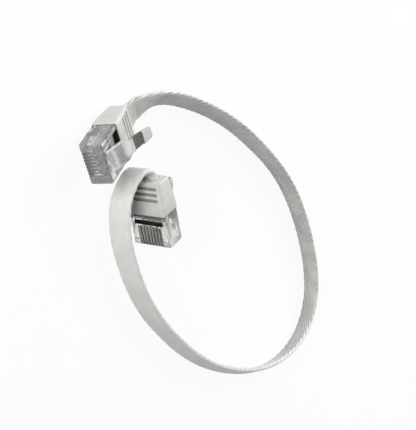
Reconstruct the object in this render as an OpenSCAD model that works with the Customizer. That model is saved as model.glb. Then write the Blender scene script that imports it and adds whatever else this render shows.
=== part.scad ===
// Flat ethernet patch cable: two 8-contact plugs on one flat four-pair cable, lying in an open loop.
// Millimetres, +Z up. The floor is Z = 0 and the origin lies under the middle of the two plugs.
// A plug's own frame has its origin at the centre of the nose face, +X out of the nose,
// +Y across the plug and +Z towards the latch. Plug a lies on its contact side, plug b on its edge.

/* [Plug housing] */
// Width of the clear plug body
plug_w = 11.68; // [11.5:0.02:11.8]
// Height of the clear plug body, without the latch
plug_h = 6.5; // [6.3:0.1:6.7]
// Length of the full-height front block
block_len = 11.6; // [11:0.1:12]
// Length of the stepped neck behind the block, which keys the plug into its boot
neck_len = 5; // [4.8:0.1:5.2]
// Width of the neck
neck_w = 10.6; // [10.4:0.1:10.8]
// Height of the neck
neck_h = 4.4; // [4.3:0.1:4.6]
// Chamfer of the nose's two long edges
nose_chamfer = 0.45; // [0.2:0.05:0.6]
// Width of the pocket for the guide bar and the cable
pocket_w = 9.2; // [9:0.1:9.4]
// Height of the pocket for the guide bar and the cable
pocket_h = 3.4; // [3.2:0.1:3.6]
// Depth of the pocket inside the block
pocket_depth = 1.7; // [1.5:0.1:1.9]
// Thickness of clear plastic ahead of the wire ends
nose_wall = 1.2; // [0.8:0.1:1.4]
// Length of the clamp recess across the contact side
clamp_len = 2.7; // [2:0.1:2.8]
// Width of the clamp recess
clamp_w = 9.6; // [8:0.1:10]
// Depth of the clamp recess
clamp_depth = 1.2; // [0.8:0.1:1.4]
// Distance from the nose to the front of the clamp recess
clamp_front = 6.9; // [6.7:0.1:7.1]
// Thickness of the wedge that stands across the clamp recess
wedge_t = 0.45; // [0.3:0.05:0.6]
// Height of the wedge above the recess floor
wedge_h = 0.75; // [0.5:0.05:0.8]
// Width of the window across the latch side
window_w = 9; // [8:0.1:10]
// Depth of the window
window_depth = 1.2; // [0.8:0.1:1.4]

/* [Contacts and wires] */
// Distance between neighbouring contacts
contact_pitch = 1.02; // [1:0.01:1.04]
// Thickness of a contact blade
blade_t = 0.34; // [0.28:0.02:0.36]
// Width of a contact slot's mouth
mouth_w = 0.6; // [0.5:0.02:0.66]
// Depth of a contact slot's mouth below the contact side
mouth_depth = 0.9; // [0.6:0.05:1]
// Length of a contact blade
blade_len = 5.5; // [5:0.1:5.6]
// Set-back of the blades from the nose
blade_setback = 0.45; // [0.4:0.05:0.6]
// Depth of the blades' outer edge below the contact side
blade_recess = 0.3; // [0.2:0.05:0.5]
// Height of a blade's solid part, below its prongs
blade_h = 1.2; // [1:0.1:1.3]
// Height step between the two staggered rows of wires
row_step = 1; // [0.8:0.1:1.1]
// Diameter of an insulated wire
wire_d = 0.6; // [0.5:0.02:0.64]
// Diameter of a wire's copper core
core_d = 0.26; // [0.2:0.02:0.3]
// Length of the guide bar that sorts the wires
guide_len = 2.4; // [2:0.1:2.5]
// Width of the guide bar
guide_w = 9; // [8.8:0.1:9.1]
// Height of the guide bar
guide_h = 3.2; // [3:0.1:3.3]

/* [Latch] */
// Width of the latch's root, up to its shoulders
latch_w = 6.1; // [5.8:0.1:6.4]
// Distance from the hinge line to the shoulders
shoulder_at = 6.4; // [6:0.1:6.8]
// Length of the slope behind the shoulders
shoulder_len = 1.4; // [0.8:0.1:1.8]
// Width of the latch's tongue, behind its shoulders
tongue_w = 3.9; // [3.5:0.1:4.2]
// Width of the tongue at its tip
tip_w = 3.1; // [2.8:0.1:3.4]
// Distance from the hinge line to the thin saddle across the tongue
saddle_at = 9.4; // [8.8:0.1:9.8]
// Length of the saddle
saddle_len = 3; // [2:0.1:3.4]
// Depth of the saddle
saddle_depth = 0.4; // [0.2:0.05:0.5]
// Length of the latch from its hinge line to its tip
latch_len = 16; // [15:0.5:16.5]
// Thickness of the latch
latch_t = 1; // [0.8:0.05:1.1]
// Angle between the free latch and the plug body
latch_angle = 23; // [20:1:25]
// Set-back of the hinge line from the nose
hinge_back = 1.1; // [1:0.05:1.3]
// Height of the hinge line above the latch side of the body
hinge_rise = 0.3; // [0.25:0.05:0.4]
// Radius of the rounded root that turns at the hinge line
hinge_r = 0.55; // [0.5:0.05:0.6]

/* [Boot] */
// Length of the boot
boot_len = 10; // [9.8:0.1:10.4]
// Length of the plug's block that the boot covers
boot_overlap = 1.4; // [1.3:0.1:1.6]
// Width of the boot at its front band
boot_front_w = 12.5; // [12.3:0.1:12.7]
// Height of the boot at its front
boot_front_h = 7.6; // [7.5:0.1:8]
// Width of the boot at its rear
boot_rear_w = 11.4; // [11.2:0.1:11.6]
// Height of the boot at its rear
boot_rear_h = 5.5; // [5.4:0.1:5.8]
// Length of the boot's plain front band
boot_band = 4; // [3.8:0.1:4.2]
// Number of grip grooves on each wide side
groove_count = 3; // [2:1:3]
// Distance from one grip groove to the next
groove_pitch = 1.75; // [1.6:0.05:1.8]
// Width of a grip groove
groove_w = 0.85; // [0.6:0.05:0.9]
// Depth of a grip groove
groove_depth = 0.7; // [0.3:0.05:0.8]
// Plain margin between a groove's ends and the boot's narrow sides
groove_margin = 1.1; // [0.9:0.1:1.5]
// Length of the inner mould that seals the cable into the plug
mould_len = 2.2; // [2:0.1:2.3]

/* [Cable] */
// Width of the flat cable
cable_w = 7.4; // [7.2:0.1:7.6]
// Thickness of the flat cable
cable_t = 1.6; // [1.5:0.05:1.7]
// Wall of the cable's jacket
jacket_wall = 0.2; // [0.15:0.01:0.22]
// Distance between neighbouring wire pairs
pair_pitch = 1.6; // [1.5:0.05:1.65]
// Diameter of one twisted pair
pair_d = 1; // [0.9:0.02:1.04]
// Length of the jacket's end inside the plug, ahead of the boot's rear face
jacket_hold = 4.8; // [4.7:0.1:5]

/* [Fits] */
// Clearance round each piece that seats in another, on each side
fit_gap = 0.05; // [0.02:0.01:0.08]

/* [Hidden] */

$fn = 48;
eps = 0.01;
pins = 8;
wire_sides = 8;
pair_sides = 6;
round_points = 4;
flat_points = 2;

// Where the plugs lie: nose centre, and the turn about X, Y and Z.
// Plug a's nose is raised, so that its boot's rear edge rests on the floor.
plug_a_turn = [0, -12, -50];
plug_b_turn = [-90, 0, 32];
plug_exposed = block_len - boot_overlap;
boot_rear = plug_exposed + boot_len;
plug_a_at = [-1.3, -17.3,
    boot_rear * sin(-plug_a_turn.y) + boot_rear_h / 2 * cos(plug_a_turn.y)];
plug_b_at = [16.7, 18.3, boot_front_w / 2];

// Pair and wire colours, by place across the cable and by pin
pair_colours = ["darkorange", "seagreen", "royalblue", "saddlebrown"];
wire_colours = ["bisque", "darkorange", "honeydew", "royalblue",
    "lightblue", "seagreen", "antiquewhite", "saddlebrown"];
// The pair that each pin's wire belongs to, and the side of the pair that it leaves from
wire_pair = [0, 0, 1, 2, 2, 1, 3, 3];
wire_side = [-1, 1, -1, -1, 1, 1, -1, 1];
// Pin 6's wire hops over the blue pair between the jacket and the guide bar
hop_pin = 5;
hop = [0, 1.5 * wire_d, 1.4 * wire_d, 0];

// The cable's free route from plug b to plug a, chosen by hand: x, y, lean and lift.
// The lean turns the flat cable about its own line: 0 stands it on edge, below 0 tips its
// top into the loop and 90 lays it flat. The lift raises it off the floor.
route = [
    [-1.7, 6.6, 0, 2.4],
    [-2.2, 5.2, 1, 2.2],
    [-1.8, 3.6, 3, 1.9],
    [-0.2, 2.2, 5, 1.3],
    [2.9, 1, 7, 0.7],
    [7.8, 0.4, 6, 0.2],
    [14.4, 1.9, 5, 0],
    [21.5, 5.8, 3, 0],
    [31, 14, 0, 0],
    [39, 24, -3, 0],
    [45.5, 35.5, -4, 0],
    [51, 47.5, -6, 0],
    [55.5, 61, -9, 0],
    [58.5, 75.5, -13, 0],
    [60, 90.5, -19, 0],
    [59.8, 104, -24, 0],
    [57.5, 117, -27, 0],
    [52.5, 128.5, -27, 0],
    [44.5, 136.5, -25, 0],
    [34, 138.8, -22, 0],
    [23, 134.8, -18, 0],
    [12, 126.5, -14, 0],
    [2, 116, -11, 0],
    [-6.5, 104, -7, 0],
    [-13, 90.5, -3, 0],
    [-18, 75.5, 3, 0],
    [-22, 60, 8, 0],
    [-24.3, 45, 13, 0],
    [-25, 32, 18, 0.3],
    [-24.8, 20.5, 25, 0.9],
    [-23.8, 13, 32, 1.3],
    [-22.7, 9, 42, 1.3],
    [-21.3, 6.1, 54, 1.2],
    [-19.9, 4.1, 67, 1],
    [-18.4, 2.3, 79, 0.8]
];
// Rings of the cable's sweep between neighbouring route points
steps = 2;
// Clearance that keeps the faceted cable off the floor
floor_gap = 0.05;

// ---- positions in a plug's own frame ----
neck_rear = block_len + neck_len;
jacket_end = boot_rear - jacket_hold;
pocket_front = block_len - pocket_depth;
guide_rear = pocket_front + fit_gap + guide_len;
mould_front = neck_rear - (mould_len - fit_gap) / 2;
mould_rear = mould_front + mould_len;
clamp_floor = clamp_depth - plug_h / 2;
blade_low = blade_recess - plug_h / 2;
blade_nose = 0.5;
prong_half = 0.3;
// Places of a blade's two prongs, as shares of its length
prong_places = [0.76, 0.35];
// Spare length of a contact slot behind its blade
slot_spare = 0.2;
// Extra wall ahead of the prongs' part of the slot
prong_wall = 0.4;
// Clear plastic between a wire's end and the nose wall
wire_stop = 0.1;
// Half of the space between the two wires of a pair
wire_spread = 0.02;
// Diameter that the insulation's bore has over its core
core_room = 0.02;
// Plain length between the boot's front band and its first groove
groove_lead = 0.3;
tip_chamfer = 0.5;
hinge_x = -hinge_back;
hinge_z = plug_h / 2 + hinge_rise;
// The relief lets the pressed latch lie down without touching the body
relief_depth = 0.45;
relief_len = 3.6;
relief_side = 0.4;

function pin_y(pin) = (pin - (pins - 1) / 2) * contact_pitch;
function pin_z(pin) = (pin % 2 == 0 ? -1 : 1) * row_step / 2;
function pair_y(pair) = (pair - 1.5) * pair_pitch;

// ---- turning a plug's points into the part's frame ----
function turn_x(v, a) = [v.x, v.y * cos(a) - v.z * sin(a), v.y * sin(a) + v.z * cos(a)];
function turn_y(v, a) = [v.x * cos(a) + v.z * sin(a), v.y, v.z * cos(a) - v.x * sin(a)];
function turn_z(v, a) = [v.x * cos(a) - v.y * sin(a), v.x * sin(a) + v.y * cos(a), v.z];
function turned(v, t) = turn_z(turn_y(turn_x(v, t.x), t.y), t.z);
function on_plug_a(v) = plug_a_at + turned(v, plug_a_turn);
function on_plug_b(v) = plug_b_at + turned(v, plug_b_turn);
module at_plug(end) {
    translate(end == "a" ? plug_a_at : plug_b_at)
        rotate(end == "a" ? plug_a_turn : plug_b_turn)
            children();
}

// ---- the cable's line and its rings ----
// Half height of the flat section when it leans
function rest_height(lean) = (cable_w - cable_t) / 2 * abs(cos(lean)) + cable_t / 2;
function lie(p) = [p.x, p.y, rest_height(p[2]) + floor_gap + p[3], p[2]];
function with_lean(p, lean) = [p.x, p.y, p.z, lean];
// Straight runs at both ends: out of the plug's pocket and past the boot's rear face
straight_runs = [jacket_end, (jacket_end + boot_rear) / 2, boot_rear, boot_rear + 0.6];
knots = concat(
    [for (d = straight_runs) with_lean(on_plug_b([-d, 0, 0]), 0)],
    [for (p = route) lie(p)],
    [for (i = [3:-1:0]) with_lean(on_plug_a([-straight_runs[i], 0, 0]), 90)]);
last_knot = len(knots) - 1;
// Rounded curve through four knots, from the second to the third
function between(a, b, c, d, t) = 0.5 * (2 * b + (c - a) * t
    + (2 * a - 5 * b + 4 * c - d) * t * t + (3 * b - a - 3 * c + d) * t * t * t);
function knot(i) = knots[max(0, min(last_knot, i))];
function straight(i) = i < 2 || i >= last_knot - 2;
line = concat(
    [for (i = [0:last_knot - 1], s = [0:(straight(i) ? 0 : steps - 1)])
        between(knot(i - 1), knot(i), knot(i + 1), knot(i + 2), s / steps)],
    [knots[last_knot]]);
last_ring = len(line) - 1;
function place(i) = [line[i].x, line[i].y, line[i].z];
function unit(v) = v / norm(v);
function along(i) = unit(place(min(last_ring, i + 1)) - place(max(0, i - 1)));
// A section's points, given across the width and through the thickness, set on ring i
function ring(i, section) =
    let (t = along(i), up = unit([0, 0, 1] - t * t.z), side = cross(t, up), a = line[i][3],
        across = up * cos(a) + side * sin(a), through = cross(t, across))
    [for (p = section) place(i) + across * p.x + through * p.y];
// A flat section with round ends
function flat_section(w, t) = [for (s = [1, -1])
    each concat(
        [for (k = [0:round_points - 1]) let (a = 180 * k / (round_points - 1) - 90 * s)
            [s * (w - t) / 2 + t / 2 * cos(a), t / 2 * sin(a)]],
        [for (k = [1:flat_points])
            [s * (w - t) / 2 * (1 - 2 * k / (flat_points + 1)), s * t / 2]])];
function round_section(d, sides, at) = [for (k = [0:sides - 1])
    [at + d / 2 * cos(360 * k / sides), d / 2 * sin(360 * k / sides)]];

// ---- solids from rings ----
function flatten(lists) = [for (l = lists, p = l) p];
function skin(rings, sides, from, flip) = [for (r = [0:rings - 2], k = [0:sides - 1], half = [0, 1])
    let (a = from + r * sides + k, b = from + r * sides + (k + 1) % sides,
        f = half == 0 ? [a, b, a + sides] : [b, b + sides, a + sides])
    flip ? [f[2], f[1], f[0]] : f];
module swept_solid(rings) {
    n = len(rings[0]);
    last = (len(rings) - 1) * n;
    faces = concat(skin(len(rings), n, 0, true),
        [[for (k = [0:n - 1]) k]], [[for (k = [n - 1:-1:0]) last + k]]);
    polyhedron(points = flatten(rings), faces = faces, convexity = 10);
}
// A hollow sweep: the inner rings have as many points as the outer ones
module swept_tube(outer, inner) {
    n = len(outer[0]);
    inside = len(outer) * n;
    last = (len(outer) - 1) * n;
    caps = [for (k = [0:n - 1], half = [0, 1])
        let (m = (k + 1) % n)
        half == 0 ? [k, m, inside + m] : [k, inside + m, inside + k]];
    faces = concat(skin(len(outer), n, 0, true), skin(len(inner), n, inside, false),
        caps, [for (f = caps) [f[2] + last, f[1] + last, f[0] + last]]);
    polyhedron(points = concat(flatten(outer), flatten(inner)), faces = faces, convexity = 10);
}

// ---- the cable ----
module cable_jacket() {
    outer = flat_section(cable_w, cable_t);
    inner = flat_section(cable_w - 2 * jacket_wall, cable_t - 2 * jacket_wall);
    color("white")
        swept_tube([for (i = [0:last_ring]) ring(i, outer)], [for (i = [0:last_ring]) ring(i, inner)]);
}

// One twisted pair, as its round envelope. The cable's width axis points along -Y of both plugs.
module wire_pair(pair) {
    section = round_section(pair_d, pair_sides, -pair_y(pair));
    color(pair_colours[pair])
        swept_solid([for (i = [0:last_ring]) ring(i, section)]);
}

// ---- the plug, in its own frame ----
module along_x(from, to, d) {
    translate([from, 0, 0])
        rotate([0, 90, 0])
            cylinder(d = d, h = to - from);
}

// A box given by its X span, width and Z span, centred on Y
module span_box(x, w, z) {
    translate([x[0], -w / 2, z[0]])
        cube([x[1] - x[0], w, z[1] - z[0]]);
}

// A side view, X and Z, given a width
module side_slab(points, w) {
    rotate([90, 0, 0])
        linear_extrude(w, center = true)
            polygon(points);
}

// The flat cable's passage
module cable_passage(from, to, gap) {
    t = cable_t + 2 * gap;
    span_box([from, to], cable_w - cable_t, [-t / 2, t / 2]);
    for (s = [-1, 1])
        translate([0, s * (cable_w - cable_t) / 2, 0])
            along_x(from, to, t);
}

module housing() {
    c = nose_chamfer;
    h = plug_h / 2;
    slot_w = blade_t + fit_gap;
    blade_end = blade_setback + blade_len + slot_spare;
    color("lightcyan", 0.5) {
        clamp_wedge();
        difference() {
            union() {
                side_slab([[0, -h + c], [-c, -h], [-block_len, -h], [-block_len, h],
                    [-c, h], [0, h - c]], plug_w);
                span_box([-neck_rear, -block_len + eps], neck_w, [-neck_h / 2, neck_h / 2]);
            }
            span_box([-neck_rear - 1, -pocket_front], pocket_w, [-pocket_h / 2, pocket_h / 2]);
            span_box([-clamp_front - clamp_len, -clamp_front], clamp_w, [-h - 1, clamp_floor]);
            span_box([-plug_exposed, -clamp_front], window_w, [h - window_depth, h + 1]);
            for (pin = [0:pins - 1])
                translate([0, pin_y(pin), 0]) {
                    translate([0, 0, pin_z(pin)])
                        along_x(-pocket_front - eps, -nose_wall, wire_d + 2 * fit_gap);
                    span_box([-blade_end, 1], mouth_w, [-h - 1, mouth_depth - h]);
                    span_box([-blade_end, 1], slot_w, [-h - 1, blade_low + blade_h + fit_gap]);
                    span_box([-blade_end, -nose_wall - prong_wall], slot_w, [-h, pin_z(pin)]);
                }
            span_box([hinge_x - relief_len, hinge_x], latch_w + 2 * relief_side,
                [h - relief_depth, h + 1]);
            translate([hinge_x, 0, hinge_z])
                rotate([90, 0, 0])
                    cylinder(r = hinge_r + fit_gap, h = latch_w + 2 * relief_side, center = true);
        }
    }
}

// The wedge that was pressed in to grip the cable, moulded in one with the housing
module clamp_wedge() {
    x = -clamp_front - clamp_len / 2;
    span_box([x - wedge_t / 2, x + wedge_t / 2], clamp_w + 2 * eps,
        [clamp_floor - wedge_h, clamp_floor + eps]);
}

module latch() {
    outline = [[0, latch_w / 2], [-shoulder_at, latch_w / 2],
        [-shoulder_at - shoulder_len, tongue_w / 2],
        [-latch_len + tip_chamfer, tip_w / 2], [-latch_len, tip_w / 2 - tip_chamfer]];
    color("lightcyan", 0.5)
        translate([hinge_x, 0, hinge_z]) {
            rotate([90, 0, 0])
                cylinder(r = hinge_r, h = latch_w, center = true);
            rotate([0, latch_angle, 0])
                difference() {
                    translate([0, 0, -latch_t / 2])
                        linear_extrude(latch_t)
                            polygon(concat(outline, [for (i = [len(outline) - 1:-1:0])
                                [outline[i].x, -outline[i].y]]));
                    span_box([-saddle_at - saddle_len, -saddle_at], latch_w,
                        [latch_t / 2 - saddle_depth, latch_t]);
                }
        }
}

// A blade with two prongs that pierce its wire
module blade(pin) {
    top = blade_low + blade_h;
    tip = pin_z(pin) + core_d / 2;
    front = -blade_setback;
    rear = front - blade_len;
    side_slab(concat(
        [[front - blade_nose, blade_low], [rear, blade_low], [rear, top]],
        [for (s = prong_places, k = [-1, 0, 1])
            [front - s * blade_len + k * prong_half, k == 0 ? tip : top]],
        [[front, top], [front, blade_low + blade_nose]]), blade_t);
}

module contacts() {
    color("gold")
        for (pin = [0:pins - 1])
            translate([0, pin_y(pin), 0])
                blade(pin);
}

module guide_bar() {
    front = -pocket_front - fit_gap;
    color("whitesmoke")
        difference() {
            span_box([front - guide_len, front], guide_w, [-guide_h / 2, guide_h / 2]);
            for (pin = [0:pins - 1])
                translate([0, pin_y(pin), pin_z(pin)])
                    along_x(front - guide_len - 1, front + 1, wire_d + 2 * fit_gap);
        }
}

// The centre line of a pin's wire, from the cut end of the jacket to the nose
function wire_line(pin) =
    let (y = pair_y(wire_pair[pin]) + wire_side[pin] * (wire_d / 2 + wire_spread),
        fan = jacket_end - guide_rear)
    concat([for (s = [0:3])
        [-jacket_end + fan * s / 3, y + (pin_y(pin) - y) * s / 3,
            pin_z(pin) * s / 3 + (pin == hop_pin ? hop[s] : 0)]],
        [[-nose_wall - wire_stop, pin_y(pin), pin_z(pin)]]);
function wire_rings(pin, d) = [for (p = wire_line(pin)) [for (k = [0:wire_sides - 1])
    [p.x, p.y + d / 2 * cos(360 * k / wire_sides), p.z + d / 2 * sin(360 * k / wire_sides)]]];

module insulation(pin) {
    color(wire_colours[pin])
        swept_tube(wire_rings(pin, wire_d), wire_rings(pin, core_d + core_room));
}

module cores() {
    color("peru")
        for (pin = [0:pins - 1])
            swept_solid(wire_rings(pin, core_d));
}

module inner_mould() {
    color("gainsboro")
        difference() {
            span_box([-mould_rear, -mould_front], guide_w, [-guide_h / 2, guide_h / 2]);
            cable_passage(-mould_rear - 1, -mould_front + 1, fit_gap);
        }
}

module boot() {
    x0 = -plug_exposed;
    x1 = x0 - boot_band;
    x2 = -boot_rear;
    fh = boot_front_h / 2;
    rh = boot_rear_h / 2;
    groove_from = x1 - groove_w / 2 - groove_lead;
    function half_height(x) = fh + (rh - fh) * (x - x0) / (x2 - x0);
    groove_half = boot_rear_w / 2 - groove_margin;
    // A room for a piece of the given width and height, from a place behind the nose to the boot's front
    module room(rear, w, h) {
        span_box([-rear - fit_gap, x0 + 1], w + 2 * fit_gap, [-h / 2 - fit_gap, h / 2 + fit_gap]);
    }
    color("snow")
        difference() {
            intersection() {
                side_slab([[x0, -fh], [x2, -rh], [x2, rh], [x0, fh]], boot_front_w);
                translate([0, 0, -fh])
                    linear_extrude(boot_front_h)
                        polygon([[x0, -boot_front_w / 2], [x1, -boot_front_w / 2],
                            [x2, -boot_rear_w / 2], [x2, boot_rear_w / 2],
                            [x1, boot_front_w / 2], [x0, boot_front_w / 2]]);
            }
            room(block_len, plug_w, plug_h);
            room(neck_rear, neck_w, neck_h);
            room(mould_rear, guide_w, guide_h);
            cable_passage(x2 - 1, x0, fit_gap);
            for (n = [0:groove_count - 1], s = [-1, 1]) {
                x = groove_from - n * groove_pitch;
                depth = half_height(x) - groove_depth;
                translate([x, 0, s * (depth + 1)])
                    cube([groove_w, 2 * groove_half, 2], center = true);
            }
        }
}

cable_jacket();
wire_pair(0);  // pair_orange
wire_pair(1);  // pair_green
wire_pair(2);  // pair_blue
wire_pair(3);  // pair_brown
for (end = ["a", "b"]) {
    at_plug(end) housing();
    at_plug(end) latch();
    at_plug(end) contacts();
    at_plug(end) guide_bar();
    at_plug(end) inner_mould();
    at_plug(end) boot();
    at_plug(end) cores();
    for (pin = [0:pins - 1])
        at_plug(end) insulation(pin);
}
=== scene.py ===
"""A flat ethernet patch cable: two clear modular plugs in grooved boots on one flat four-pair cable.

Metres, in the frame of the CAD model. A plug's own frame has its origin at the centre of the nose
face, +X out of the nose, +Y across the plug and +Z towards the latch.
"""
from math import ceil, cos, pi, radians, sin

import bmesh
import bpy
import numpy as np
from mathutils import Matrix, Vector


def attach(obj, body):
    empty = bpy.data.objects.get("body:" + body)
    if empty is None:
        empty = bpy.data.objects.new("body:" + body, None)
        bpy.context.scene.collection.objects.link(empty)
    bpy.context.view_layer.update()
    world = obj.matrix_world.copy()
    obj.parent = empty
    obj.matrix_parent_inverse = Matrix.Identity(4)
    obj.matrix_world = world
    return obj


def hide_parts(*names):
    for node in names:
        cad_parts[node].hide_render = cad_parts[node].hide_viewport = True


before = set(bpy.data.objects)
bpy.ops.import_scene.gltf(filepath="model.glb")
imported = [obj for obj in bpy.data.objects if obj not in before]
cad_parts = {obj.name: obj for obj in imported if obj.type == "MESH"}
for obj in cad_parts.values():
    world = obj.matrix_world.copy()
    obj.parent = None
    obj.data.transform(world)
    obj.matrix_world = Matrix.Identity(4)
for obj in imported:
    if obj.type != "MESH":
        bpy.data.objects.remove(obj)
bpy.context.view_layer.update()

MM = 0.001
ENDS = ("a", "b")
PINS = 8

# ---- sizes that the CAD model sets ----
PLUG_W, PLUG_H = 11.68 * MM, 6.5 * MM
BLOCK_LEN, NECK_LEN = 11.6 * MM, 5 * MM
NECK_W, NECK_H = 10.6 * MM, 4.4 * MM
MOULD_W, MOULD_H, MOULD_LEN = 9 * MM, 3.2 * MM, 2.2 * MM
BOOT_FRONT, BOOT_LEN, BOOT_BAND = 10.2 * MM, 10 * MM, 4 * MM
BOOT_REAR = BOOT_FRONT + BOOT_LEN
BOOT_FRONT_W, BOOT_FRONT_H = 12.5 * MM, 7.6 * MM
BOOT_REAR_W, BOOT_REAR_H = 11.4 * MM, 5.5 * MM
GROOVES, GROOVE_PITCH, GROOVE_W, GROOVE_DEPTH = 3, 1.75 * MM, 0.85 * MM, 0.7 * MM
GROOVE_MARGIN, GROOVE_LEAD = 1.1 * MM, 0.3 * MM
FIRST_GROOVE = BOOT_FRONT + BOOT_BAND + GROOVE_W / 2 + GROOVE_LEAD
CABLE_W, CABLE_T = 7.4 * MM, 1.6 * MM
JACKET_HOLD = 4.8 * MM
JACKET_END = BOOT_REAR - JACKET_HOLD
PAIR_PITCH, WIRE_D = 1.6 * MM, 0.6 * MM
CLAMP_FRONT, CLAMP_LEN, CLAMP_W, CLAMP_DEPTH = 6.9 * MM, 2.7 * MM, 9.6 * MM, 1.2 * MM
WINDOW_W, WINDOW_DEPTH = 9 * MM, 1.2 * MM
CONTACT_PITCH, SLOT_W, SLOT_LEN, SLOT_TOP = 1.02 * MM, 0.6 * MM, 6.15 * MM, 1.7 * MM
WEDGE_T = 0.45 * MM
HINGE_BACK, HINGE_Z = 1.1 * MM, 3.55 * MM
LATCH_W, LATCH_LEN, LATCH_T, LATCH_ANGLE = 6.1 * MM, 16 * MM, 1 * MM, radians(23)
SHOULDER_AT, SHOULDER_LEN = 6.4 * MM, 1.4 * MM
# The thin saddle across the tongue: its distance from the hinge line, length and depth
SADDLE_AT, SADDLE_LEN, SADDLE_DEPTH = 9.4 * MM, 3 * MM, 0.4 * MM
TONGUE_W, TIP_W = 3.9 * MM, 3.1 * MM
GAP = 0.05 * MM
STRAIGHT_OUT = 0.6 * MM

# Where the plugs lie: nose centre, and the turn about X, Y and Z
PLUG_TURN = {"a": (0, radians(-12), radians(-50)), "b": (radians(-90), 0, radians(32))}
PLUG_AT = {
    "a": (-0.0013, -0.0173, BOOT_REAR * sin(radians(12)) + BOOT_REAR_H / 2 * cos(radians(12))),
    "b": (0.0167, 0.0183, BOOT_FRONT_W / 2),
}

# The cable's free route from plug b to plug a: x, y, lean in degrees, and lift off the floor.
# Lean 0 stands the flat cable on edge, below 0 tips its top into the loop and 90 lays it flat.
ROUTE = [
    (-0.0017, 0.0066, 0, 0.0024),
    (-0.0022, 0.0052, 1, 0.0022),
    (-0.0018, 0.0036, 3, 0.0019),
    (-0.0002, 0.0022, 5, 0.0013),
    (0.0029, 0.001, 7, 0.0007),
    (0.0078, 0.0004, 6, 0.0002),
    (0.0144, 0.0019, 5, 0),
    (0.0215, 0.0058, 3, 0),
    (0.031, 0.014, 0, 0),
    (0.039, 0.024, -3, 0),
    (0.0455, 0.0355, -4, 0),
    (0.051, 0.0475, -6, 0),
    (0.0555, 0.061, -9, 0),
    (0.0585, 0.0755, -13, 0),
    (0.06, 0.0905, -19, 0),
    (0.0598, 0.104, -24, 0),
    (0.0575, 0.117, -27, 0),
    (0.0525, 0.1285, -27, 0),
    (0.0445, 0.1365, -25, 0),
    (0.034, 0.1388, -22, 0),
    (0.023, 0.1348, -18, 0),
    (0.012, 0.1265, -14, 0),
    (0.002, 0.116, -11, 0),
    (-0.0065, 0.104, -7, 0),
    (-0.013, 0.0905, -3, 0),
    (-0.018, 0.0755, 3, 0),
    (-0.022, 0.06, 8, 0),
    (-0.0243, 0.045, 13, 0),
    (-0.025, 0.032, 18, 0.0003),
    (-0.0248, 0.0205, 25, 0.0009),
    (-0.0238, 0.013, 32, 0.0013),
    (-0.0227, 0.009, 42, 0.0013),
    (-0.0213, 0.0061, 54, 0.0012),
    (-0.0199, 0.0041, 67, 0.001),
    (-0.0184, 0.0023, 79, 0.0008),
]
FLOOR_GAP = 0.05 * MM
RING_STEP = 0.42 * MM


# ---- camera, light and floor ----
WORLD_LIGHT = 0.12
LAMP_AIM = Vector((0.015, 0.06, 0))
LAMP_AWAY, LAMP_SIZE = 0.8, 0.4
# Name, bearing from +X, height above the floor in degrees, and watts
LAMPS = [
    ("key_light", 135, 35, 4.4),
    ("front_light", 270, 12, 4.7),
    ("side_light", 180, 20, 2),
    ("top_light", 60, 75, 0.6),
]


def make_camera():
    """The photograph's view: from a low angle, with the camera rolled onto its side."""
    elevation, roll = radians(29.93), radians(97.93)
    distance, target = 0.3045, Vector((0.0074, 0.0448, 0.006))
    up = Vector((0, sin(elevation), cos(elevation)))
    forward = Vector((0, cos(elevation), -sin(elevation)))
    right = Vector((1, 0, 0))
    image_right = cos(roll) * right + sin(roll) * up
    image_up = cos(roll) * up - sin(roll) * right
    data = bpy.data.cameras.new("camera")
    data.sensor_width = 36
    data.lens = 81.87
    data.clip_start, data.clip_end = 0.01, 10
    camera = bpy.data.objects.new("camera", data)
    bpy.context.scene.collection.objects.link(camera)
    place = Matrix((image_right, image_up, -forward)).transposed().to_4x4()
    place.translation = target - distance * forward
    camera.matrix_world = place
    bpy.context.scene.camera = camera


def make_light():
    """Area lamps and a faint even light. Seen directly, in gloss or through plastic it is white."""
    world = bpy.data.worlds.new("studio")
    bpy.context.scene.world = world
    world.use_nodes = True
    nodes, links = world.node_tree.nodes, world.node_tree.links
    nodes.clear()
    soft, white = nodes.new("ShaderNodeBackground"), nodes.new("ShaderNodeBackground")
    soft.inputs["Strength"].default_value = WORLD_LIGHT
    white.inputs["Strength"].default_value = 1
    for background in (soft, white):
        background.inputs["Color"].default_value = (1, 1, 1, 1)
    mix, out = nodes.new("ShaderNodeMixShader"), nodes.new("ShaderNodeOutputWorld")
    links.new(seen_ray(nodes, links), mix.inputs[0])
    links.new(soft.outputs[0], mix.inputs[1])
    links.new(white.outputs[0], mix.inputs[2])
    links.new(mix.outputs[0], out.inputs["Surface"])
    for name, bearing, height, watts in LAMPS:
        lamp = bpy.data.lights.new(name, "AREA")
        lamp.size, lamp.energy = LAMP_SIZE, watts
        piece = bpy.data.objects.new(name, lamp)
        bpy.context.scene.collection.objects.link(piece)
        a, h = radians(bearing), radians(height)
        back = Vector((cos(a) * cos(h), sin(a) * cos(h), sin(h)))
        turn = (-back).to_track_quat("-Z", "Y").to_matrix().to_4x4()
        piece.matrix_world = Matrix.Translation(LAMP_AIM + LAMP_AWAY * back) @ turn
        piece.visible_transmission = False


def seen_ray(nodes, links):
    """1 for rays of the camera and for those seen in gloss or through clear plastic, else 0."""
    path = nodes.new("ShaderNodeLightPath")
    seen, through = nodes.new("ShaderNodeMath"), nodes.new("ShaderNodeMath")
    seen.operation = through.operation = "MAXIMUM"
    links.new(path.outputs["Is Glossy Ray"], through.inputs[0])
    links.new(path.outputs["Is Transmission Ray"], through.inputs[1])
    links.new(path.outputs["Is Camera Ray"], seen.inputs[0])
    links.new(through.outputs[0], seen.inputs[1])
    return seen.outputs[0]


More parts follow.
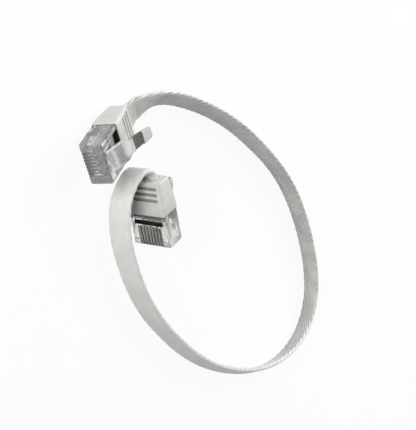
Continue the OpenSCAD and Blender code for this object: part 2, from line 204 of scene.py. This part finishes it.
def make_floor():
    """A pale sheet: near white where it is seen, with a faint shadow, and a soft grey bounce."""
    mesh = bpy.data.meshes.new("floor")
    half = 3
    mesh.from_pydata([(-half, -half, 0), (half, -half, 0), (half, half, 0), (-half, half, 0)],
                     [], [(0, 1, 2, 3)])
    floor = bpy.data.objects.new("floor", mesh)
    bpy.context.scene.collection.objects.link(floor)
    material, nodes, links, bounce = new_material("floor_white")
    bounce.inputs["Base Color"].default_value = (0.42, 0.42, 0.42, 1)
    bounce.inputs["Roughness"].default_value = 0.9
    bounce.inputs["Specular IOR Level"].default_value = 0
    shaded, glow = nodes.new("ShaderNodeBsdfDiffuse"), nodes.new("ShaderNodeEmission")
    shaded.inputs["Color"].default_value = (0.95, 0.95, 0.95, 1)
    pale, mix = nodes.new("ShaderNodeMixShader"), nodes.new("ShaderNodeMixShader")
    pale.inputs[0].default_value = 0.92
    links.new(shaded.outputs[0], pale.inputs[1])
    links.new(glow.outputs[0], pale.inputs[2])
    links.new(seen_ray(nodes, links), mix.inputs[0])
    links.new(bounce.outputs[0], mix.inputs[1])
    links.new(pale.outputs[0], mix.inputs[2])
    links.new(mix.outputs[0], nodes["Material Output"].inputs["Surface"])
    floor.data.materials.append(material)


# ---- materials ----
# Scales of the noise, per metre
PVC_MOTTLE, METAL_MOTTLE, WIRE_MOTTLE, VALLEY_SHADE_PATCHES = 420, 1500, 700, 130
PVC_GRAIN, METAL_GRAIN, CLEAR_GRAIN, STRIPE_BANDS = 5200, 9000, 900, 260
# Depths of the grain
FINE_DEPTH, BOOT_DEPTH, METAL_DEPTH = 0.02 * MM, 0.03 * MM, 0.004 * MM
HOUSING_BEVEL, CONTACT_BEVEL, SMALL_BEVEL = 0.12 * MM, 0.04 * MM, 0.1 * MM


def new_material(name):
    material = bpy.data.materials.new(name)
    material.use_nodes = True
    nodes, links = material.node_tree.nodes, material.node_tree.links
    return material, nodes, links, nodes["Principled BSDF"]


def mottled(nodes, links, shader, dark, light, scale, position="Object"):
    """Base colour that wanders softly between two tones."""
    where = nodes.new("ShaderNodeTexCoord")
    noise, ramp = nodes.new("ShaderNodeTexNoise"), nodes.new("ShaderNodeValToRGB")
    noise.inputs["Scale"].default_value = scale
    noise.inputs["Detail"].default_value = 4
    ramp.color_ramp.elements[0].position = 0.35
    ramp.color_ramp.elements[1].position = 0.65
    ramp.color_ramp.elements[0].color = (*dark, 1)
    ramp.color_ramp.elements[1].color = (*light, 1)
    links.new(where.outputs[position], noise.inputs["Vector"])
    links.new(noise.outputs["Fac"], ramp.inputs["Fac"])
    links.new(ramp.outputs["Color"], shader.inputs["Base Color"])


def grained(nodes, links, shader, scale, depth):
    """Fine surface grain, as a bump."""
    where = nodes.new("ShaderNodeTexCoord")
    noise, bump = nodes.new("ShaderNodeTexNoise"), nodes.new("ShaderNodeBump")
    noise.inputs["Scale"].default_value = scale
    noise.inputs["Detail"].default_value = 6
    bump.inputs["Strength"].default_value = 0.35
    bump.inputs["Distance"].default_value = depth
    links.new(where.outputs["Object"], noise.inputs["Vector"])
    links.new(noise.outputs["Fac"], bump.inputs["Height"])
    links.new(bump.outputs["Normal"], shader.inputs["Normal"])


def pvc(name, dark, light, roughness, grain):
    material, nodes, links, shader = new_material(name)
    mottled(nodes, links, shader, dark, light, PVC_MOTTLE)
    grained(nodes, links, shader, PVC_GRAIN, grain)
    shader.inputs["Roughness"].default_value = roughness
    shader.inputs["Specular IOR Level"].default_value = 0.4
    shader.inputs["Subsurface Weight"].default_value = 0.08
    shader.inputs["Subsurface Radius"].default_value = (0.0006, 0.0006, 0.0005)
    return material


def paint_valley_shade(material, shade_tone):
    """Paints shade into the valleys between the jacket's ridges on the inner side, in patches."""
    nodes, links = material.node_tree.nodes, material.node_tree.links
    shader = nodes["Principled BSDF"]
    plain = shader.inputs["Base Color"].links[0].from_socket

    def math(operation, a, b):
        node = nodes.new("ShaderNodeMath")
        node.operation = operation
        for socket, value in zip(node.inputs, (a, b)):
            if isinstance(value, (int, float)):
                socket.default_value = value
            else:
                links.new(value, socket)
        return node.outputs[0]

    marks, parts = nodes.new("ShaderNodeUVMap"), nodes.new("ShaderNodeSeparateXYZ")
    marks.uv_map = "ridges"
    links.new(marks.outputs[0], parts.inputs[0])
    wave = math("COSINE", math("MULTIPLY", parts.outputs["X"], 2 * pi), 0)
    depth = math("MULTIPLY_ADD", wave, -0.5)
    depth.node.inputs[2].default_value = 0.5
    where, patches = nodes.new("ShaderNodeTexCoord"), nodes.new("ShaderNodeTexNoise")
    patches.inputs["Scale"].default_value = VALLEY_SHADE_PATCHES
    patches.inputs["Detail"].default_value = 3
    links.new(where.outputs["Object"], patches.inputs["Vector"])
    thick = math("POWER", math("MULTIPLY", patches.outputs["Fac"], 1.9), 2)
    share = math("MULTIPLY", math("MULTIPLY", depth, parts.outputs["Y"]), thick)
    mix = nodes.new("ShaderNodeMixRGB")
    mix.inputs["Color2"].default_value = (*shade_tone, 1)
    links.new(share, mix.inputs["Fac"])
    links.new(plain, mix.inputs["Color1"])
    links.new(mix.outputs["Color"], shader.inputs["Base Color"])


def clear_plastic(name, tint, transmission, roughness):
    material, nodes, links, shader = new_material(name)
    shader.inputs["Base Color"].default_value = (*tint, 1)
    shader.inputs["Transmission Weight"].default_value = transmission
    shader.inputs["Roughness"].default_value = roughness
    shader.inputs["IOR"].default_value = 1.5
    grained(nodes, links, shader, CLEAR_GRAIN, FINE_DEPTH)
    return material


def metal(name, dark, light, roughness):
    material, nodes, links, shader = new_material(name)
    mottled(nodes, links, shader, dark, light, METAL_MOTTLE)
    grained(nodes, links, shader, METAL_GRAIN, METAL_DEPTH)
    shader.inputs["Metallic"].default_value = 1
    shader.inputs["Roughness"].default_value = roughness
    return material


def insulation(name, colour, stripe=None):
    """Extruded insulation in one colour, or white with a coloured stripe along it."""
    material, nodes, links, shader = new_material(name)
    dark = tuple(0.82 * c for c in colour)
    mottled(nodes, links, shader, dark, colour, WIRE_MOTTLE)
    if stripe:
        ramp = shader.inputs["Base Color"].links[0].from_node
        where, wave = nodes.new("ShaderNodeTexCoord"), nodes.new("ShaderNodeTexWave")
        wave.inputs["Scale"].default_value = STRIPE_BANDS
        wave.inputs["Distortion"].default_value = 1.5
        edge, mix = nodes.new("ShaderNodeValToRGB"), nodes.new("ShaderNodeMixRGB")
        edge.color_ramp.elements[0].position = 0.62
        edge.color_ramp.elements[1].position = 0.7
        mix.inputs["Color2"].default_value = (*stripe, 1)
        links.new(where.outputs["Object"], wave.inputs["Vector"])
        links.new(wave.outputs["Fac"], edge.inputs["Fac"])
        links.new(edge.outputs["Color"], mix.inputs["Fac"])
        links.new(ramp.outputs["Color"], mix.inputs["Color1"])
        links.new(mix.outputs["Color"], shader.inputs["Base Color"])
    shader.inputs["Roughness"].default_value = 0.45
    return material


# ---- meshes ----
def add_mesh(name, points, faces, materials, smooth=True):
    mesh = bpy.data.meshes.new(name)
    mesh.from_pydata([tuple(float(c) for c in p) for p in points], [], faces)
    mesh.validate()
    piece = bpy.data.objects.new(name, mesh)
    bpy.context.scene.collection.objects.link(piece)
    for material in materials:
        mesh.materials.append(material)
    mesh.polygons.foreach_set("use_smooth", [smooth] * len(mesh.polygons))
    work = bmesh.new()
    work.from_mesh(mesh)
    bmesh.ops.recalc_face_normals(work, faces=work.faces)
    work.to_mesh(mesh)
    work.free()
    return piece


def loft_faces(rings, sides, closed_ring=False, start=0):
    """Quads between rings of points that have the same number of sides."""
    faces = []
    for r in range(rings if closed_ring else rings - 1):
        low, high = start + r * sides, start + (r + 1) % rings * sides
        for k in range(sides):
            m = (k + 1) % sides
            faces.append((low + k, low + m, high + m, high + k))
    return faces


def capped(rings, sides, start=0):
    last = start + (rings - 1) * sides
    return loft_faces(rings, sides, start=start) + [
        tuple(range(start, start + sides)), tuple(range(last + sides - 1, last - 1, -1))]


def crease(piece, angle):
    """Shades the piece smooth, with hard edges where it turns by more than the angle."""
    mesh = piece.data
    mesh.polygons.foreach_set("use_smooth", [True] * len(mesh.polygons))
    mesh.set_sharp_from_angle(angle=angle)


# ---- plug frames ----
def turn_matrix(turn):
    rotations = [Matrix.Rotation(a, 3, axis) for a, axis in zip(turn, "XYZ")]
    return rotations[2] @ rotations[1] @ rotations[0]


def plug_matrix(end):
    place = turn_matrix(PLUG_TURN[end]).to_4x4()
    place.translation = PLUG_AT[end]
    return place


def on_plug(end, points):
    place = np.array(plug_matrix(end))
    return np.asarray(points) @ place[:3, :3].T + place[:3, 3]


# ---- the cable ----
def cable_knots():
    """x, y, z and lean of each knot: straight out of plug b, along the route, and into plug a."""
    straight = [JACKET_END, (JACKET_END + BOOT_REAR) / 2, BOOT_REAR, BOOT_REAR + STRAIGHT_OUT]
    out_of_b = on_plug("b", [(-d, 0, 0) for d in straight])
    into_a = on_plug("a", [(-d, 0, 0) for d in reversed(straight)])
    knots = [(*p, 0) for p in out_of_b]
    for x, y, lean, lift in ROUTE:
        rest = (CABLE_W - CABLE_T) / 2 * abs(cos(radians(lean))) + CABLE_T / 2
        knots.append((x, y, rest + FLOOR_GAP + lift, lean))
    return np.array(knots + [(*p, 90) for p in into_a])


def between(a, b, c, d, t):
    """Rounded curve through four knots, from the second to the third."""
    return 0.5 * (2 * b + (c - a) * t + (2 * a - 5 * b + 4 * c - d) * t * t
                  + (3 * b - a - 3 * c + d) * t * t * t)


def cable_line(step):
    """Places and leans along the cable, about a step apart."""
    knots = cable_knots()
    last = len(knots) - 1
    line = []
    for i in range(last):
        a, b, c, d = (knots[min(max(k, 0), last)] for k in range(i - 1, i + 3))
        parts = max(2, ceil(np.linalg.norm(c[:3] - b[:3]) / step))
        line += [between(a, b, c, d, s / parts) for s in range(parts)]
    return np.array(line + [knots[last]])


def ring_frames(line):
    """Centre, across and through vectors, and the distance run, at each point of the line."""
    centre, lean = line[:, :3], np.radians(line[:, 3])
    ahead = np.gradient(centre, axis=0)
    ahead /= np.linalg.norm(ahead, axis=1)[:, None]
    up = np.array([0, 0, 1]) - ahead * ahead[:, 2:]
    up /= np.linalg.norm(up, axis=1)[:, None]
    side = np.cross(ahead, up)
    across = up * np.cos(lean)[:, None] + side * np.sin(lean)[:, None]
    through = np.cross(ahead, across)
    run = np.concatenate([[0], np.cumsum(np.linalg.norm(np.diff(centre, axis=0), axis=1))])
    return centre, across, through, run


# The pairs' twists: whole turns over the cable's length, so that the wires leave side by side
PAIR_TURNS = (31, 36, 28, 33)
PAIR_NAMES = ("orange", "green", "blue", "brown")
EDGE_ROUND = 0.7 * MM
# The jacket is drawn tight over the bundle, which shows as fine slanting ridges. They are
# deeper on the inner side of the loop, where the bend presses the jacket together.
RIDGES = 110
RIDGE_PITCH = 1.05 * MM
RIDGE_RISE = {1: 0.035 * MM, -1: 0.1 * MM}
EDGE_WAVE = 0.05 * MM
# Places across the jacket: degrees round each edge, and how many between the edges
EDGE_ANGLES, MIDDLE_PLACES = (22, 42, 60, 76), 49
PAIR_SIDES = 6
# A little under half the wire's size, which leaves a gap between the two wires of a pair
PAIR_WIRE_R = 0.48 * WIRE_D


def pair_centre(pair):
    """Place across the cable, whose width axis points along -Y of both plugs."""
    return -(pair - 1.5) * PAIR_PITCH


def ridge_phase(across, run, length, side):
    """Counts the ridges up to a place on one wide side."""
    return RIDGES * run / length - side * across / RIDGE_PITCH


def ridge(across, run, length, side):
    """From 1 on a ridge's crest to -1 between two."""
    return np.cos(2 * pi * ridge_phase(across, run, length, side))


def half_thickness(across, run, length, side):
    """The jacket's half thickness on one wide side."""
    edge = np.clip((np.abs(across) - (CABLE_W / 2 - EDGE_ROUND)) / EDGE_ROUND, 0, 1)
    height = CABLE_T / 2 - RIDGE_RISE[side] * (1 - ridge(across, run, length, side))
    return height * np.sqrt(1 - edge ** 2)


def jacket_places():
    """Places across the jacket, from edge to edge, closer together at the round edges."""
    inner = CABLE_W / 2 - EDGE_ROUND
    edge = [inner + EDGE_ROUND * sin(radians(a)) for a in EDGE_ANGLES]
    middle = list(np.linspace(-inner, inner, MIDDLE_PLACES))
    return np.array([-e for e in reversed(edge)] + middle + edge)


def mark_ridges(mesh, phases, inner):
    """Stores each point's place in the ridges' cycle, and 1 on the inner side, as a UV map for the
    painted valley shade.
    """
    corners = np.empty(len(mesh.loops), dtype=int)
    mesh.loops.foreach_get("vertex_index", corners)
    marks = np.stack([np.concatenate(phases)[corners], np.concatenate(inner)[corners]], axis=1)
    mesh.uv_layers.new(name="ridges").data.foreach_set("uv", marks.ravel())


def make_jacket(line, material):
    centre, across, through, run = ring_frames(line)
    places = jacket_places()
    sides = 2 * len(places) + 2
    points, phases, inner = [], [], []
    for i in range(len(line)):
        top = half_thickness(places, run[i], run[-1], 1)
        low = -half_thickness(places, run[i], run[-1], -1)
        u = np.concatenate([[-CABLE_W / 2], places, [CABLE_W / 2], places[::-1]])
        v = np.concatenate([[0], top, [0], low[::-1]])
        u *= 1 - EDGE_WAVE / CABLE_W * (1 - ridge(u, run[i], run[-1], np.sign(v)))
        points += list(centre[i] + np.outer(u, across[i]) + np.outer(v, through[i]))
        phases.append(ridge_phase(u, run[i], run[-1], -1))
        inner.append((v < 0).astype(float))
    jacket = add_mesh("cable_jacket_skin", points, capped(len(line), sides), [material])
    mark_ridges(jacket.data, phases, inner)
    crease(jacket, radians(50))
    return jacket


def make_pair(pair, line, materials):
    """Two insulated wires twisted round each other along the whole jacket."""
    centre, across, through, run = ring_frames(line)
    points, faces = [], []
    for s in (-1, 1):
        start = len(points)
        for i in range(len(line)):
            turn = 2 * pi * PAIR_TURNS[pair] * run[i] / run[-1]
            u = pair_centre(pair) + s * WIRE_D / 2 * cos(turn)
            v = s * WIRE_D / 2 * sin(turn)
            middle = centre[i] + u * across[i] + v * through[i]
            for k in range(PAIR_SIDES):
                a = 2 * pi * k / PAIR_SIDES
                spoke = cos(a) * across[i] + sin(a) * through[i]
                points.append(middle + PAIR_WIRE_R * spoke)
        faces += capped(len(line), PAIR_SIDES, start)
    wires = add_mesh("twisted_pair_" + PAIR_NAMES[pair], points, faces, materials)
    half = len(wires.data.polygons) // 2
    wires.data.polygons.foreach_set("material_index", [int(i >= half) for i in range(2 * half)])
    crease(wires, radians(60))
    return wires


# ---- the boot ----
CORNER_STEPS = 4
BOOT_FILLET, BOOT_CORNER, SEAT_CORNER = 0.3 * MM, 0.85 * MM, 0.2 * MM
# A narrow ring on the flat back, inside the fillet, and the lip round the cable's slot
REAR_RIM, REAR_LIP = 0.05 * MM, 0.25 * MM
# Half the distance over which a groove's side walls and its ends rise
WALL_SOFT, END_SOFT = 0.07 * MM, 0.08 * MM
# A groove ends this far from the boot's middle
HALF_GROOVE = BOOT_REAR_W / 2 - GROOVE_MARGIN
# Extra places across the wide sides, from the middle outwards
WIDE_STOPS = [1.5 * MM, 3 * MM, HALF_GROOVE - END_SOFT, HALF_GROOVE, HALF_GROOVE + END_SOFT]
# A point this close to the full height lies on a wide side
FLAT_TOLERANCE = 0.01 * MM
# Faces of a groove painted with shade: least share and depth below the rim, and a margin past its
# floor
DARK_SHARE, DARK_DEPTH, DARK_MARGIN = 0.1, 0.1 * MM, 0.05 * MM


def rounded_rectangle(w, h, r, stops=()):
    """Points round a rounded rectangle in Y and Z. The stops are extra places on the wide sides."""
    places = [-y for y in reversed(stops)] + list(stops)
    corners = []
    for cy, cz, start in ((1, 1, 0), (-1, 1, 90), (-1, -1, 180), (1, -1, 270)):
        arc = [radians(start + 90 * k / CORNER_STEPS) for k in range(CORNER_STEPS + 1)]
        corners.append([(cy * (w / 2 - r) + r * cos(a), cz * (h / 2 - r) + r * sin(a)) for a in arc])
    top = [(y, h / 2) for y in reversed(places)]
    low = [(y, -h / 2) for y in places]
    return corners[0] + top + corners[1] + corners[2] + low + corners[3]


def groove_share(x):
    """How deep in a groove a place along the boot is, from 0 to 1."""
    share = 0.0
    for n in range(GROOVES):
        off = abs(x - FIRST_GROOVE - n * GROOVE_PITCH)
        rise = (GROOVE_W / 2 + WALL_SOFT - off) / (2 * WALL_SOFT)
        share = max(share, min(1, max(0, rise)))
    return share * share * (3 - 2 * share)


def shade_grooves(end, mesh):
    """The grooves of the contact side get a darker material: painted shade."""
    back = np.array(plug_matrix(end).inverted())
    for face in mesh.polygons:
        x, y, z = back[:3, :3] @ np.array(face.center) + back[:3, 3]
        height = BOOT_FRONT_H + (BOOT_REAR_H - BOOT_FRONT_H) * (-x - BOOT_FRONT) / BOOT_LEN
        sunk = height / 2 - abs(z)
        below_rim = DARK_DEPTH < sunk < GROOVE_DEPTH + DARK_MARGIN
        in_groove = z < 0 and groove_share(-x) > DARK_SHARE and below_rim
        if in_groove and abs(y) < HALF_GROOVE:
            face.material_index = 1


def make_boot(end, material, groove_shade_material):
    """One closed ring of rings: along the outside, over the rear lip and back along the seats."""
    def outer(x, inset=0.0):
        share = (x - BOOT_FRONT) / BOOT_LEN
        taper = max(0, (x - BOOT_FRONT - BOOT_BAND) / (BOOT_LEN - BOOT_BAND))
        w = BOOT_FRONT_W + (BOOT_REAR_W - BOOT_FRONT_W) * taper - 2 * inset
        h = BOOT_FRONT_H + (BOOT_REAR_H - BOOT_FRONT_H) * share - 2 * inset
        sunk = GROOVE_DEPTH * groove_share(x)
        ring = []
        for y, z in rounded_rectangle(w, h, BOOT_CORNER - inset, WIDE_STOPS):
            side = min(1, max(0, (HALF_GROOVE + END_SOFT - abs(y)) / (2 * END_SOFT)))
            flat = abs(z) > h / 2 - FLAT_TOLERANCE
            ring.append((-x, y, z - (1 if z > 0 else -1) * sunk * side * flat))
        return ring

    def inner(x, w, h, r=SEAT_CORNER):
        scaled = [s * (w / 2 - r) / (BOOT_FRONT_W / 2) for s in WIDE_STOPS]
        return [(-x, y, z) for y, z in rounded_rectangle(w, h, r, scaled)]

    rings = [outer(BOOT_FRONT + BOOT_FILLET * (1 - cos(a)), BOOT_FILLET * (1 - sin(a)))
             for a in (0, pi / 6, pi / 3)]
    edges = [BOOT_FRONT + BOOT_FILLET, BOOT_FRONT + BOOT_BAND, BOOT_REAR - BOOT_FILLET]
    for n in range(GROOVES):
        for s in (-1, 1):
            wall = FIRST_GROOVE + n * GROOVE_PITCH + s * GROOVE_W / 2
            edges += [wall + k * WALL_SOFT / 2 for k in range(-3, 4)]
    rings += [outer(x) for x in sorted(edges)]
    rings += [outer(BOOT_REAR - BOOT_FILLET * (1 - sin(a)), BOOT_FILLET * (1 - cos(a)))
              for a in (pi / 6, pi / 3, pi / 2)]
    neck_rear, mould_rear = BLOCK_LEN + NECK_LEN, BLOCK_LEN + NECK_LEN + MOULD_LEN / 2
    slot = (CABLE_W + 2 * GAP, CABLE_T + 2 * GAP, CABLE_T / 2)
    lip_slot = (slot[0] + 2 * REAR_LIP, slot[1] + 2 * REAR_LIP, slot[2] + REAR_LIP)
    rings += [outer(BOOT_REAR, BOOT_FILLET + REAR_RIM),
              inner(BOOT_REAR, *lip_slot),
              inner(BOOT_REAR - REAR_LIP, *slot), inner(mould_rear + GAP, *slot),
              inner(mould_rear + GAP, MOULD_W + 2 * GAP, MOULD_H + 2 * GAP),
              inner(neck_rear + GAP, MOULD_W + 2 * GAP, MOULD_H + 2 * GAP),
              inner(neck_rear + GAP, NECK_W + 2 * GAP, NECK_H + 2 * GAP),
              inner(BLOCK_LEN + GAP, NECK_W + 2 * GAP, NECK_H + 2 * GAP),
              inner(BLOCK_LEN + GAP, PLUG_W + 2 * GAP, PLUG_H + 2 * GAP),
              inner(BOOT_FRONT, PLUG_W + 2 * GAP, PLUG_H + 2 * GAP)]
    sides = len(rings[0])
    points = on_plug(end, [p for ring in rings for p in ring])
    boot = add_mesh("grip_boot_" + end, points, loft_faces(len(rings), sides, closed_ring=True),
                    [material, groove_shade_material])
    shade_grooves(end, boot.data)
    crease(boot, radians(38))
    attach(boot, "root")
    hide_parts("boot_" + end)


# ---- the latch ----
LATCH_EDGE = 0.16 * MM


def make_latch(end, materials):
    """The spring lever: a wide root with shoulders, a bend behind them and a tapered tongue."""
    half_w, half_t = LATCH_W / 2, LATCH_T / 2
    behind = SHOULDER_AT + SHOULDER_LEN
    saddle_end = SADDLE_AT + SADDLE_LEN
    # Distance from the hinge line, half width, underside and top
    stations = [
        (-0.3 * MM, half_w, -0.35 * MM, 0.35 * MM),
        (0.2 * MM, half_w, -half_t, half_t),
        (SHOULDER_AT - 0.15 * MM, half_w, -half_t, half_t),
        (SHOULDER_AT, half_w - 0.1 * MM, -half_t, half_t),
        (behind, TONGUE_W / 2, -half_t, half_t - 0.1 * MM),
        (SADDLE_AT - 0.2 * MM, TONGUE_W / 2, -half_t, half_t - 0.1 * MM),
        (SADDLE_AT, TONGUE_W / 2, -half_t, half_t - SADDLE_DEPTH),
        (saddle_end, TONGUE_W / 2 - 0.1 * MM, -half_t, half_t - SADDLE_DEPTH),
        (saddle_end + 0.2 * MM, TONGUE_W / 2 - 0.1 * MM, -half_t, half_t),
        (LATCH_LEN - 0.6 * MM, TIP_W / 2, -half_t, half_t),
        (LATCH_LEN - 0.15 * MM, TIP_W / 2 - 0.25 * MM, -half_t + 0.1 * MM, half_t - 0.1 * MM),
        (LATCH_LEN, TIP_W / 2 - 0.5 * MM, -half_t + 0.25 * MM, half_t - 0.25 * MM),
    ]
    rings = []
    for x, w, low, high in stations:
        corner = min(LATCH_EDGE, (high - low) / 2.2)
        ring = rounded_rectangle(2 * w, high - low, corner, (w * 0.4,))
        rings.append([(-x, y, z + (high + low) / 2) for y, z in ring])
    sides = len(rings[0])
    points = np.array([p for ring in rings for p in ring])
    a = LATCH_ANGLE
    tilt = np.array([(cos(a), 0, sin(a)), (0, 1, 0), (-sin(a), 0, cos(a))])
    points = points @ tilt.T + np.array([-HINGE_BACK, 0, HINGE_Z])
    faces = capped(len(rings), sides)
    latch = add_mesh("spring_latch_" + end, on_plug(end, points), faces, materials)
    # Clear root, saddle painted dark as shade, and frosted tip
    kinds = [0] * 6 + [1] * 2 + [2] * 3
    index = [kinds[i // sides] for i in range(len(kinds) * sides)] + [0, 2]
    latch.data.polygons.foreach_set("material_index", index)
    crease(latch, radians(35))
    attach(latch, "latch_" + end)
    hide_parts("latch_" + end)


# ---- CAD nodes that keep their shape ----
def dress(node, material, bevel, angle=35):
    """Gives a CAD node its material and slightly rounded edges."""
    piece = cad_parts[node]
    piece.data.materials.clear()
    piece.data.materials.append(material)
    crease(piece, radians(angle))
    if bevel:
        edge = piece.modifiers.new("rounded_edges", "BEVEL")
        edge.width = bevel
        edge.segments = 2
        edge.limit_method = "ANGLE"
        edge.angle_limit = radians(40)
        edge.use_clamp_overlap = True
        edge.harden_normals = False
    return piece


def shade_recesses(end, recess_shade_material, slot_shade_material):
    """The housing's clamp recess, window and contact slots get darker materials: painted shade."""
    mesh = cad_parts["housing_" + end].data
    mesh.materials.append(recess_shade_material)
    mesh.materials.append(slot_shade_material)
    back = np.array(plug_matrix(end).inverted())
    tol = 0.02 * MM
    for face in mesh.polygons:
        x, y, z = back[:3, :3] @ np.array(face.center) + back[:3, 3]
        in_clamp = (-CLAMP_FRONT - CLAMP_LEN - tol < x < -CLAMP_FRONT + tol
                    and abs(y) < CLAMP_W / 2 + tol
                    and -PLUG_H / 2 + tol < z < -PLUG_H / 2 + CLAMP_DEPTH + tol)
        in_window = (-BOOT_FRONT - tol < x < -CLAMP_FRONT + tol and abs(y) < WINDOW_W / 2 + tol
                     and PLUG_H / 2 - WINDOW_DEPTH - tol < z < PLUG_H / 2 - tol)
        on_wedge = abs(x + CLAMP_FRONT + CLAMP_LEN / 2) < WEDGE_T / 2 + tol
        pin = round(y / CONTACT_PITCH + (PINS - 1) / 2)
        off = abs(y - (pin - (PINS - 1) / 2) * CONTACT_PITCH)
        in_slot = (-SLOT_LEN - tol < x < -tol and off < SLOT_W / 2 + tol
                   and -PLUG_H / 2 + tol < z < -SLOT_TOP + tol)
        if in_clamp and not on_wedge or in_window:
            face.material_index = 1
        elif in_slot:
            face.material_index = 2


def dress_plugs():
    clear = clear_plastic("clear_polycarbonate", (0.98, 0.985, 0.97), 0.82, 0.05)
    # Painted shade for the housing's clamp recess and window, and for its contact slots
    shade = clear_plastic("shaded_recess", (0.02, 0.02, 0.02), 0.05, 0.4)
    slots = clear_plastic("shaded_slots", (0.14, 0.14, 0.135), 0.2, 0.4)
    frosted = clear_plastic("frosted_tip", (0.76, 0.77, 0.75), 0.5, 0.4)
    # Painted shade for the latch's saddle
    saddle = clear_plastic("saddle_painted_shade", (0.12, 0.12, 0.115), 0.4, 0.35)
    gold = metal("contact_plating", (0.72, 0.67, 0.56), (0.92, 0.88, 0.78), 0.3)
    copper = metal("bare_copper", (0.5, 0.34, 0.24), (0.7, 0.5, 0.38), 0.35)
    milky = clear_plastic("milky_guide", (0.78, 0.79, 0.76), 0.35, 0.4)
    mould = pvc("mould_plastic", (0.6, 0.6, 0.57), (0.68, 0.68, 0.65), 0.5, FINE_DEPTH)
    white = (0.78, 0.78, 0.75)
    hues = {"orange": (0.5, 0.3, 0.16), "green": (0.18, 0.32, 0.2),
            "blue": (0.15, 0.2, 0.36), "brown": (0.24, 0.17, 0.12)}
    plain = {n: insulation("insulation_" + n, c) for n, c in hues.items()}
    striped = {n: insulation("insulation_white_" + n, white, c) for n, c in hues.items()}
    wires = (striped["orange"], plain["orange"], striped["green"], plain["blue"],
             striped["blue"], plain["green"], striped["brown"], plain["brown"])
    for end in ENDS:
        dress("housing_" + end, clear, HOUSING_BEVEL)
        shade_recesses(end, shade, slots)
        make_latch(end, [clear, saddle, frosted])
        dress("contacts_" + end, gold, CONTACT_BEVEL)
        dress("guide_bar_" + end, milky, SMALL_BEVEL)
        dress("inner_mould_" + end, mould, SMALL_BEVEL)
        dress("cores_" + end, copper, 0)
        for pin in range(PINS):
            dress("wire_%s%d" % (end, pin + 1), wires[pin], 0, 60)
    return [(striped[n], plain[n]) for n in PAIR_NAMES]


def make_cable(pair_materials):
    line = cable_line(RING_STEP)
    white = pvc("jacket_pvc", (0.77, 0.775, 0.745), (0.84, 0.845, 0.815), 0.42, FINE_DEPTH)
    # Painted shade in the valleys of the jacket's ridges on the inner side
    paint_valley_shade(white, (0.5, 0.505, 0.485))
    jacket = make_jacket(line, white)
    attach(jacket, "root")
    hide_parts("cable_jacket")
    for pair, name in enumerate(PAIR_NAMES):
        wires = make_pair(pair, line, pair_materials[pair])
        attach(wires, "root")
        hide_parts("pair_" + name)
    exit_point = on_plug("b", [(-BOOT_REAR, 0, 0)])[0]


make_camera()
make_light()
make_floor()
pair_materials = dress_plugs()
make_cable(pair_materials)
boot_white = pvc("boot_pvc", (0.66, 0.665, 0.635), (0.72, 0.725, 0.695), 0.38, BOOT_DEPTH)
# Painted shade for the grooves on the contact side of the boots
boot_shade = pvc("boot_groove_painted_shade", (0.3, 0.3, 0.285), (0.36, 0.36, 0.34), 0.6, BOOT_DEPTH)
for end in ENDS:
    make_boot(end, boot_white, boot_shade)

bpy.context.scene.view_settings.view_transform = "Standard"
